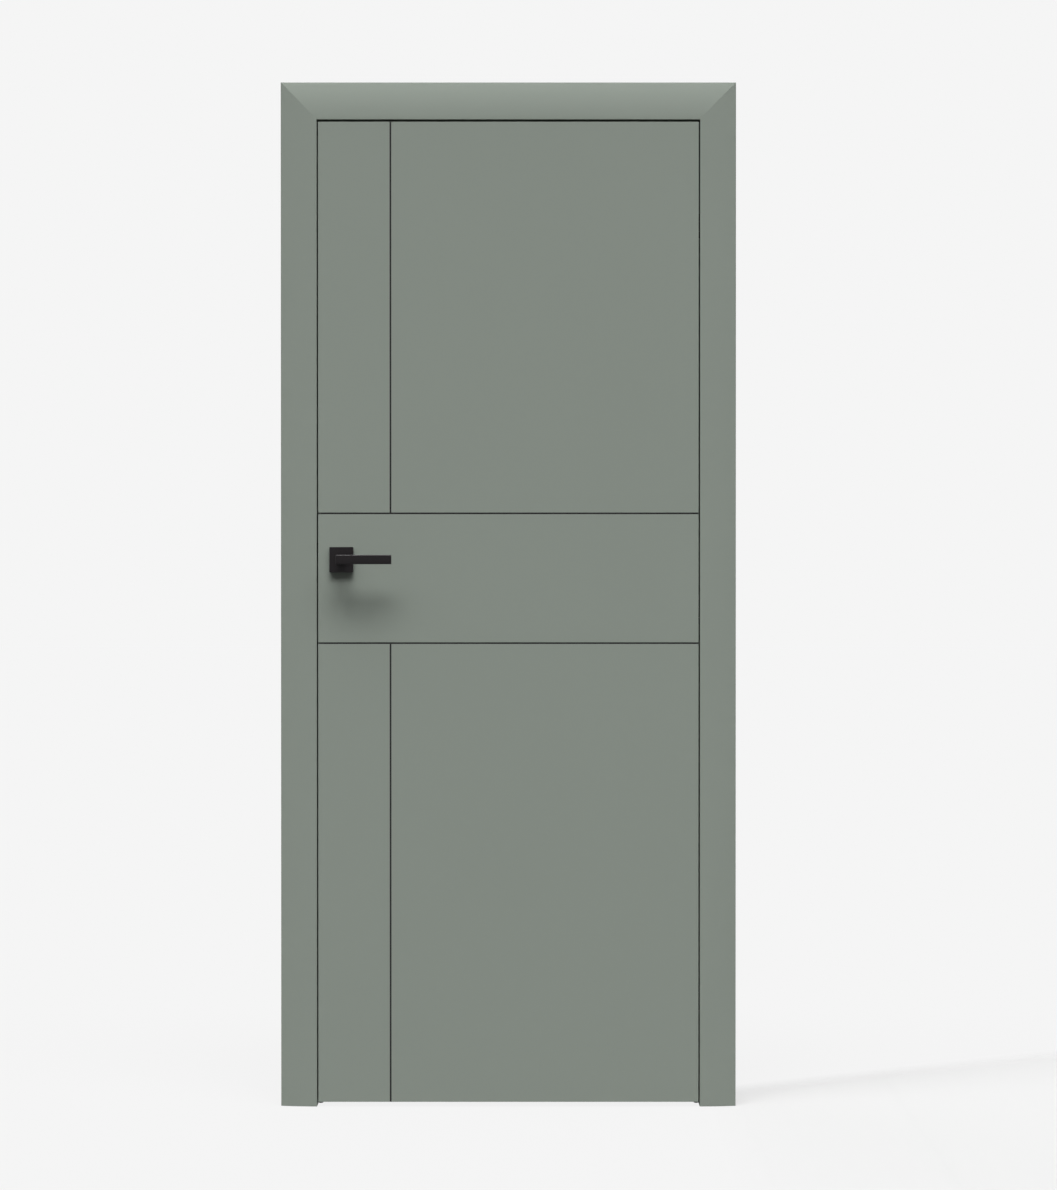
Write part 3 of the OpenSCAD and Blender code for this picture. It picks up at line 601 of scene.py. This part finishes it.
class ScrewTree(Wiring):
    """Node tree that sets a countersunk screw with a cross recess on every point.

    ARM is the length of the cross to the head's diameter, FLARE the small end of the cone to
    the shank's radius, NECK the start of the shank to the cone's height, and TWIST the
    largest turn of a screw in radians.
    """

    SIZES = ("Head Diameter", "Shank Diameter", "Length", "Recess Width", "Recess Depth")
    SIDES = 28
    ARM = 0.56
    FLARE = 1.02
    NECK = 0.9
    TWIST = 1.6

    def __init__(self) -> None:
        """Builds the tree with its named inputs."""
        super().__init__(bpy.data.node_groups.new("screw_on_point", "GeometryNodeTree"))
        face = self.tree.interface
        kinds = {name: "Float" for name in self.SIZES} | {"Seed": "Int", "Finish": "Material"}
        self.keys: dict[str, str] = {}
        face.new_socket("Points", in_out="INPUT", socket_type="NodeSocketGeometry")
        for name, kind in kinds.items():
            made = face.new_socket(name, in_out="INPUT", socket_type=f"NodeSocket{kind}")
            self.keys[name] = made.identifier
        face.new_socket("Screws", in_out="OUTPUT", socket_type="NodeSocketGeometry")
        self.wire()

    def times(self, source: Socket, factor: float = 0.5) -> Socket:
        """A value times a factor, or its half."""
        return self.sum("MULTIPLY", source, factor)

    def combine(self, *parts: Socket | None) -> Socket:
        """A vector of three values, with 0 for None."""
        node = self.add("ShaderNodeCombineXYZ")
        for slot, part in zip(node.inputs, parts):
            if part is not None:
                self.join(part, slot)
        return node.outputs[0]

    def solid(self, kind: str, first: Socket, second: Socket) -> Socket:
        """Unites two closed meshes, or cuts the second out of the first.

        Args:
            kind: UNION or DIFFERENCE.
            first: the first mesh.
            second: the second mesh.

        Returns:
            The resulting mesh.
        """
        node = self.add("GeometryNodeMeshBoolean")
        node.operation = kind
        node.solver = "EXACT"
        self.join(first, node.inputs["Mesh 1" if kind == "DIFFERENCE" else "Mesh 2"])
        self.join(second, node.inputs["Mesh 2"])
        return node.outputs["Mesh"]

    def screw(self, start: bpy.types.Node) -> Socket:
        """One screw along Z with its face at 0: a cone less a cross, and a shank.

        Args:
            start: the input node with the sizes.

        Returns:
            The closed mesh.
        """
        size = start.outputs
        head_r = self.times(size["Head Diameter"])
        shank_r = self.times(size["Shank Diameter"])
        rise = self.sum("SUBTRACT", head_r, shank_r)
        cone = self.add("GeometryNodeMeshCone")
        cone.inputs["Vertices"].default_value = self.SIDES
        self.join(head_r, cone.inputs["Radius Bottom"])
        self.join(self.times(shank_r, self.FLARE), cone.inputs["Radius Top"])
        self.join(rise, cone.inputs["Depth"])
        head = cone.outputs["Mesh"]
        wide = size["Recess Width"]
        arm = self.times(size["Head Diameter"], self.ARM)
        # The boxes are centred on the face, so half of each stands out of it.
        deep = self.times(size["Recess Depth"], 2.0)
        for sides in ((arm, wide, deep), (wide, arm, deep)):
            box = self.add("GeometryNodeMeshCube")
            self.join(self.combine(*sides), box.inputs["Size"])
            head = self.solid("DIFFERENCE", head, box.outputs["Mesh"])
        neck = self.times(rise, self.NECK)
        span = self.sum("SUBTRACT", size["Length"], neck)
        shank = self.add("GeometryNodeMeshCylinder")
        shank.inputs["Vertices"].default_value = self.SIDES
        self.join(shank_r, shank.inputs["Radius"])
        self.join(span, shank.inputs["Depth"])
        down = self.add("GeometryNodeTransform")
        self.join(shank.outputs["Mesh"], down.inputs["Geometry"])
        middle = self.sum("ADD", self.times(span), neck)
        self.join(self.combine(None, None, middle), down.inputs["Translation"])
        return self.solid("UNION", head, down.outputs["Geometry"])

    def wire(self) -> None:
        """Adds the nodes: the screw, set on every point along its aim and turned at random."""
        start = self.add("NodeGroupInput")
        aim = self.add("GeometryNodeInputNamedAttribute")
        aim.data_type = "FLOAT_VECTOR"
        aim.inputs["Name"].default_value = "aim"
        turn = self.add("FunctionNodeAlignRotationToVector")
        turn.axis = "Z"
        self.join(aim.outputs["Attribute"], turn.inputs["Vector"])
        setter = self.add("GeometryNodeInstanceOnPoints")
        self.join(start.outputs["Points"], setter.inputs["Points"])
        self.join(self.screw(start), setter.inputs["Instance"])
        self.join(turn.outputs[0], setter.inputs["Rotation"])
        chance = self.add("FunctionNodeRandomValue")
        chance.data_type = "FLOAT"
        self.join(start.outputs["Seed"], chance.inputs["Seed"])
        angle = self.times(chance.outputs[1], self.TWIST)
        twist = self.add("GeometryNodeRotateInstances")
        self.join(setter.outputs["Instances"], twist.inputs["Instances"])
        self.join(self.combine(None, None, angle), twist.inputs["Rotation"])
        real = self.add("GeometryNodeRealizeInstances")
        self.join(twist.outputs["Instances"], real.inputs["Geometry"])
        coat = self.add("GeometryNodeSetMaterial")
        self.join(real.outputs["Geometry"], coat.inputs["Geometry"])
        self.join(start.outputs["Finish"], coat.inputs["Material"])
        end = self.add("NodeGroupOutput")
        self.join(coat.outputs["Geometry"], end.inputs[0])


@dataclass(frozen=True)
class Screws:
    """One group of equal countersunk screws that takes the place of a CAD node."""

    node: str
    body: str
    spots: tuple[Spot, ...]
    aim: Spot
    length: float
    seed: int
    head: float = 0.0079
    shank: float = 0.0039
    recess: Span = (0.0011, 0.0016)

    def build(self, tree: ScrewTree, material: Material) -> Piece:
        """Sets the screws and turns them into a plain mesh.

        Args:
            tree: the node tree that makes them.
            material: their finish.

        Returns:
            The finished piece.
        """
        mesh = bpy.data.meshes.new(self.node)
        mesh.from_pydata([Vector(s) for s in self.spots], [], [])
        way = mesh.attributes.new("aim", "FLOAT_VECTOR", "POINT")
        way.data.foreach_set("vector", [v for _ in self.spots for v in self.aim])
        piece = shown(f"set_{self.node}", mesh)
        mod = piece.modifiers.new("screws", "NODES")
        mod.node_group = tree.tree
        for name, value in zip(tree.SIZES, (self.head, self.shank, self.length, *self.recess)):
            mod[tree.keys[name]] = value
        mod[tree.keys["Seed"]] = self.seed
        mod[tree.keys["Finish"]] = material
        evaluated(piece)
        piece.data.polygons.foreach_set("use_smooth", [False] * len(piece.data.polygons))
        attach(piece, self.body)
        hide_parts(self.node)
        LOG.info("screws %s: %d faces", self.node, len(piece.data.polygons))
        return piece


class Side(Enum):
    """The three lengths of a mitred frame."""

    LEFT = "left"
    RIGHT = "right"
    HEAD = "head"


@dataclass(frozen=True)
class CasingSet:
    """Mitred casings of one face: boards with a curved face, eased edges and a tongue.

    Lengths are in metres. turns are the angles, in radians, of the points along an eased
    edge, and edges that turn by more than smooth degrees stay sharp in the shading.
    """

    face: str
    lap: float
    tongue_at: float
    tongue_length: float
    drop: float = 0.009
    thick: float = 0.016
    rebate: float = 0.03615
    tongue_thick: float = 0.005
    tongue_root: float = 0.001
    edge: float = 0.001
    turns: tuple[float, ...] = (0.0, 0.52, 1.05)
    steps: int = 28
    smooth: float = 40.0

    def corner(self) -> tuple[Spot, Span]:
        """Measures the solids.

        Returns:
            The inner corner at the rear face, and the widths of upright and head.
        """
        low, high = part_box(f"casing_{self.face}_right")
        under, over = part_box(f"casing_{self.face}_head")
        return (low.x, over.y, under.z), (high.x - low.x, over.z - under.z)

    def board(self, width: float) -> list[Span]:
        """Outline of a board.

        Args:
            width: its width.

        Returns:
            Points as distance from the inner edge and depth behind the face.
        """
        e = self.edge
        r = (width * width + self.drop * self.drop) / (2 * self.drop)
        deep = r - math.sqrt((r - e) ** 2 - (width - e) ** 2)
        last = math.atan2(deep - r, width - e)
        first = math.asin(e / r) - math.pi / 2
        points = [(e - e * math.cos(a), e - e * math.sin(a)) for a in self.turns]
        for k in range(self.steps + 1):
            a = first + (last - first) * k / self.steps
            points.append((r * math.cos(a), r + r * math.sin(a)))
        count = len(self.turns)
        for k in range(1, count + 1):
            a = last * (1 - k / count)
            points.append((width - e + e * math.cos(a), deep + e * math.sin(a)))
        points.append((width, self.thick))
        if self.lap < self.thick:
            points += [(self.rebate, self.thick), (self.rebate, self.lap)]
        points.append((0.0, self.lap))
        return points

    def tongue(self) -> list[Span]:
        """Outline of the tongue, from inside the board."""
        near, far = self.tongue_at, self.tongue_at + self.tongue_thick
        top, end = self.lap - self.tongue_root, self.lap + self.tongue_length
        return [(near, top), (far, top), (far, end), (near, end)]

    def spot(self, inner: Spot, side: Side, slope: float, end: bool, point: Span) -> Spot:
        """Places one point of an outline.

        Args:
            inner: the inner corner at the rear face.
            side: which length.
            slope: slope of the mitre.
            end: True at the far end of the length.
            point: the outline point.

        Returns:
            Its place in the frame.
        """
        x, rear, z = inner
        u, deep = point
        y = deep if self.face == "front" else rear - deep
        if side is Side.HEAD:
            reach = x + u / slope
            return (reach if end else -reach, y, z + u)
        return ((x + u) * (1 if side is Side.RIGHT else -1), y, z + u * slope if end else 0.0)

    def length(self, name: str, side: Side, outline: list[Span], slope: float) -> Piece:
        """Draws an outline along one length, from mitre or floor to mitre.

        Args:
            name: the object's name.
            side: which length.
            outline: the points to draw along.
            slope: slope of the mitre.

        Returns:
            A closed piece.
        """
        work = bmesh.new()
        inner = self.corner()[0]
        ends = [
            [work.verts.new(self.spot(inner, side, slope, end, q)) for q in outline]
            for end in (False, True)
        ]
        count = len(outline)
        for k in range(count):
            n = (k + 1) % count
            work.faces.new((ends[0][k], ends[0][n], ends[1][n], ends[1][k])).smooth = True
        for end in ends:
            work.faces.new(end)
        bmesh.ops.recalc_face_normals(work, faces=work.faces)
        mesh = bpy.data.meshes.new(name)
        work.to_mesh(mesh)
        work.free()
        return shown(name, mesh)

    def build(self, side: Side, material: Material) -> Piece:
        """Builds one length in place of its solid.

        Args:
            side: which length.
            material: the finish.

        Returns:
            The finished piece.
        """
        node = f"casing_{self.face}_{side.value}"
        widths = self.corner()[1]
        rise = widths[1] / widths[0]
        square = max(1.0, rise) if side is Side.HEAD else min(1.0, rise)
        width = widths[1 if side is Side.HEAD else 0]
        piece = self.length(f"dressed_{node}", side, self.board(width), rise)
        tongue = self.length("tongue", side, self.tongue(), square)
        union = piece.modifiers.new("union", "BOOLEAN")
        union.operation = "UNION"
        union.solver = "EXACT"
        union.object = tongue
        evaluated(piece)
        bpy.data.objects.remove(tongue)
        piece.data.materials.clear()
        piece.data.materials.append(material)
        levelled(piece, self.smooth)
        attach(piece, "frame")
        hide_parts(node)
        LOG.info("%s: %d faces", node, len(piece.data.polygons))
        return piece


@dataclass
class FrameSet:
    """Lining, casings and seals."""

    front: CasingSet = CasingSet("front", 0.010, 0.027, 0.011)
    rear: CasingSet = CasingSet("rear", 0.016, 0.037, 0.024)

    def dress(self, finish: Finishes) -> None:
        """Builds the casings and paints the rest of the frame.

        Args:
            finish: the door's materials.
        """
        for side in Side:
            self.front.build(side, finish.front_casing)
            self.rear.build(side, finish.rear_casing)
            paint(finish.lining, f"lining_{side.value}")
            paint(finish.rubber, f"seal_{side.value}")
        paint(finish.zinc, "corner_screws")


@dataclass
class LeafSet:
    """Skins, stiles, rails, core and inlays."""

    faces: tuple[str, ...] = ("front", "rear")
    strips: tuple[str, ...] = ("upper", "lower", "upright_top", "upright_foot")

    def dress(self, finish: Finishes) -> None:
        """Paints the leaf's nodes.

        Args:
            finish: the door's materials.
        """
        paint(finish.leaf, *(f"skin_{face}" for face in self.faces))
        paint(finish.leaf, "lock_stile", "hinge_stile", "top_rail", "bottom_rail")
        paint(finish.softwood, "lock_block")
        paint(finish.chipboard, "core")
        for face in self.faces:
            paint(finish.inlay, *(f"inlay_{face}_{strip}" for strip in self.strips))


@dataclass
class HandleSet:
    """Levers, roses and what joins them through the leaf."""

    lever_edge: float = 0.0005
    rose_edge: float = 0.0006

    def dress(self, finish: Finishes) -> None:
        """Builds the eased levers and roses and paints the rest.

        Args:
            finish: the door's materials.
        """
        for side in ("front", "rear"):
            Eased(f"lever_{side}", "handle", "black_metal", self.lever_edge).build(finish.black)
            Eased(f"rose_{side}", "leaf", "black_metal", self.rose_edge).build(finish.black)
            paint(finish.plastic, f"rose_base_{side}")
        paint(finish.steel, "spindle", "follower")
        paint(finish.zinc, "rose_bolts", "lever_grub_screws")


def inset(low: float, high: float, by: float) -> Span:
    """Two heights, each that far inside the ends of a span."""
    return (low + by, high - by)


@dataclass
class LockSet:
    """Lock, latch and strike at the left edge."""

    forend_inset: float = 0.013
    forend_screw: float = 0.028
    strike_inset: float = 0.014
    strike_screw: float = 0.024

    def dress(self, finish: Finishes, tree: ScrewTree) -> None:
        """Paints the lock and sets the screws of forend and strike.

        Args:
            finish: the door's materials.
            tree: the screw tree.
        """
        paint(finish.steel, "lock_case")
        paint(finish.coated, "lock_forend", "latch_bolt", "strike_plate")
        paint(finish.plastic, "strike_box")
        low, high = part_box("lock_forend")
        y = (low.y + high.y) / 2
        spots = tuple((low.x, y, z) for z in inset(low.z, high.z, self.forend_inset))
        screws = Screws("lock_screws", "leaf", spots, (1, 0, 0), self.forend_screw, seed=2)
        screws.build(tree, finish.coated)
        low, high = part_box("strike_plate")
        y = (low.y + high.y) / 2
        spots = tuple((high.x, y, z) for z in inset(low.z, high.z, self.strike_inset))
        screws = Screws("strike_screws", "frame", spots, (-1, 0, 0), self.strike_screw, seed=3)
        screws.build(tree, finish.coated)


@dataclass
class HingeSet:
    """Concealed hinges: bodies in lining and leaf, arms, pins and screws."""

    places: tuple[str, ...] = ("top", "middle", "bottom")
    screw_inset: Span = (0.008, 0.019)
    screw_length: float = 0.032
    seed: int = 5

    def spots(self, side: str) -> tuple[Spot, ...]:
        """Points of the screw heads on one side.

        Args:
            side: frame or leaf.

        Returns:
            The points on the faces of the hinge bodies.
        """
        found: list[Spot] = []
        for place in self.places:
            low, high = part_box(f"hinge_{side}_{place}")
            x = low.x if side == "frame" else high.x
            y = (low.y + high.y) / 2
            for by in self.screw_inset:
                found += [(x, y, z) for z in inset(low.z, high.z, by)]
        return tuple(found)

    def dress(self, finish: Finishes, tree: ScrewTree) -> None:
        """Paints the hinges and sets their screws.

        Args:
            finish: the door's materials.
            tree: the screw tree.
        """
        for side, body, aim in (("frame", "frame", (1, 0, 0)), ("leaf", "leaf", (-1, 0, 0))):
            for place in self.places:
                paint(finish.coated, f"hinge_{side}_{place}")
            paint(finish.coated, f"hinge_{side}_arms")
            paint(finish.zinc, f"hinge_{side}_pins")
            spots, length = self.spots(side), self.screw_length
            screws = Screws(f"hinge_{side}_screws", body, spots, aim, length, self.seed)
            screws.build(tree, finish.coated)
        paint(finish.zinc, "hinge_centre_pins")


@dataclass(frozen=True)
class Arc:
    """A row of equal sun lamps whose shadows fall equally far down an upright face.

    fall is the length of a shadow down the face to the depth that casts it, swings are the
    lamps' turns to the side and spread is their width, in degrees.
    """

    name: str
    energy: float
    fall: float
    swings: tuple[float, ...]
    spread: float = 17.0

    def build(self) -> None:
        """Adds the lamps, lower the more they stand to the side."""
        for number, swing in enumerate(self.swings):
            data = bpy.data.lights.new(f"{self.name}_{number}", "SUN")
            data.energy = self.energy / len(self.swings)
            data.angle = math.radians(self.spread)
            sun = bpy.data.objects.new(data.name, data)
            turn = math.radians(swing)
            rise = math.atan(self.fall * math.cos(turn))
            sun.rotation_euler = (math.pi / 2 - rise, 0.0, turn)
            bpy.context.scene.collection.objects.link(sun)


@dataclass
class Studio:
    """Pale floor, soft light from the front and above, quiet surround and the camera.

    The streak is where the floor shows the shadow: in front of a line of streak_slope, fading
    out over streak_band, right of streak_start and stronger along streak_reach. trace shows
    elsewhere. Lengths are in metres, the tilt of the camera is in degrees.
    """

    pale: float = 0.913
    arcs: tuple[Arc, ...] = (
        Arc("key", 3.85, 2.06, (-44.0, -29.0, -15.0, 0.0, 15.0, 29.0, 44.0)),
        Arc("top", 2.24, 3.0, (-30.0, 0.0, 30.0)),
        Arc("side", 1.04, 1.95, (-62.0, 62.0)),
    )
    fill: Span = (0.2, 0.75)
    fill_change: Span = (-0.1, 0.4)
    floor_size: float = 40.0
    floor_level: float = -0.0003
    floor_tone: float = 0.3824
    floor_bounce: float = 0.06
    trace: float = 0.06
    streak_strength: Span = (0.42, 0.95)
    streak_reach: Span = (0.517, 0.85)
    streak_slope: float = 0.61
    streak_band: Span = (-0.155, 0.015)
    streak_start: Span = (0.4, 0.52)
    distance: float = 6.5
    picture_height: float = 2.5495
    aim: Spot = (0.0431, 0.0, 1.0972)
    tilt: float = 0.42
    sensor: float = 24.0
    farthest: float = 200.0

    def seen(self, w: Wiring) -> Socket:
        """Value that is 1 for rays from the camera, from gloss and through glass.

        Args:
            w: the wiring to add to.

        Returns:
            The value socket.
        """
        path = w.add("ShaderNodeLightPath")
        value = path.outputs["Is Camera Ray"]
        for name in ("Is Glossy Ray", "Is Transmission Ray"):
            value = w.sum("MAXIMUM", value, path.outputs[name])
        return value

    def surround(self) -> None:
        """World: pale where it is seen, dim in front and brighter behind as light."""
        world = bpy.data.worlds.new("surround")
        bpy.context.scene.world = world
        world.use_nodes = True
        w = Wiring(world.node_tree)
        place = w.add("ShaderNodeTexCoord")
        split = w.add("ShaderNodeSeparateXYZ")
        w.join(place.outputs["Generated"], split.inputs[0])
        light = w.add("ShaderNodeBackground")
        light.inputs["Color"].default_value = grey(1.0)
        fill = w.between(split.outputs[1], self.fill, self.fill_change)
        w.join(fill, light.inputs["Strength"])
        plain = w.add("ShaderNodeBackground")
        plain.inputs["Color"].default_value = grey(self.pale)
        mix = w.add("ShaderNodeMixShader")
        w.join(self.seen(w), mix.inputs[0])
        w.join(light.outputs[0], mix.inputs[1])
        w.join(plain.outputs[0], mix.inputs[2])
        end = w.add("ShaderNodeOutputWorld")
        w.join(mix.outputs[0], end.inputs["Surface"])

    def streak(self, w: Wiring) -> Socket:
        """How much of the shadow shows: a streak right of the frame, and a trace elsewhere.

        Args:
            w: the floor's wiring.

        Returns:
            The value socket.
        """
        place = w.add("ShaderNodeTexCoord")
        split = w.add("ShaderNodeSeparateXYZ")
        w.join(place.outputs["Object"], split.inputs[0])
        x, y = split.outputs[0], split.outputs[1]
        back = w.sum("SUBTRACT", y, w.sum("MULTIPLY", x, self.streak_slope))
        band = w.between(back, (1.0, 0.0), self.streak_band, soft=True)
        begin = w.between(x, WHOLE, self.streak_start, soft=True)
        strength = w.between(x, self.streak_strength, self.streak_reach)
        streak = w.sum("MULTIPLY", strength, w.sum("MULTIPLY", begin, band))
        return w.sum("MAXIMUM", self.trace, streak)

    def floor(self) -> None:
        """Wide pale floor that takes a light shadow."""
        mesh = bpy.data.meshes.new("floor")
        r, z = self.floor_size, self.floor_level
        mesh.from_pydata([(-r, -r, z), (r, -r, z), (r, r, z), (-r, r, z)], [], [(0, 1, 2, 3)])
        material = bpy.data.materials.new("pale_floor")
        material.use_nodes = True
        w = Wiring(material.node_tree)
        glow = w.add("ShaderNodeEmission")
        glow.inputs["Color"].default_value = grey(self.pale)
        lit = w.add("ShaderNodeBsdfDiffuse")
        lit.inputs["Color"].default_value = grey(self.floor_tone)
        both = w.add("ShaderNodeMixShader")
        w.join(self.streak(w), both.inputs[0])
        w.join(glow.outputs[0], both.inputs[1])
        w.join(lit.outputs[0], both.inputs[2])
        dull = w.add("ShaderNodeBsdfDiffuse")
        dull.inputs["Color"].default_value = grey(self.floor_bounce)
        mix = w.add("ShaderNodeMixShader")
        w.join(self.seen(w), mix.inputs[0])
        w.join(dull.outputs[0], mix.inputs[1])
        w.join(both.outputs[0], mix.inputs[2])
        end = w.add("ShaderNodeOutputMaterial")
        w.join(mix.outputs[0], end.inputs["Surface"])
        mesh.materials.append(material)
        shown("floor", mesh)

    def camera(self) -> None:
        """Camera straight in front, tilted down a trifle, framing the photograph's view."""
        data = bpy.data.cameras.new("camera")
        data.sensor_fit = "VERTICAL"
        data.sensor_height = self.sensor
        data.lens = self.sensor * self.distance / self.picture_height
        data.clip_end = self.farthest
        eye = bpy.data.objects.new("camera", data)
        drop = math.radians(self.tilt)
        back = Vector((0, -math.cos(drop), math.sin(drop)))
        eye.location = Vector(self.aim) + back * self.distance
        eye.rotation_euler = (math.pi / 2 - drop, 0.0, 0.0)
        bpy.context.scene.collection.objects.link(eye)
        bpy.context.scene.camera = eye

    def build(self) -> None:
        """Sets up floor, surround, lamps and camera."""
        self.surround()
        self.floor()
        for arc in self.arcs:
            arc.build()
        self.camera()
        bpy.context.scene.view_settings.view_transform = "Standard"


def main() -> None:
    """Builds the sub-assemblies in order."""
    logging.basicConfig(level=logging.INFO, format="%(name)s: %(message)s")
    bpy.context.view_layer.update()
    finish = Finishes()
    tree = ScrewTree()
    FrameSet().dress(finish)
    LeafSet().dress(finish)
    HandleSet().dress(finish)
    LockSet().dress(finish, tree)
    HingeSet().dress(finish, tree)
    Studio().build()
    LOG.info("door dressed")


if __name__ == "__main__":
    main()
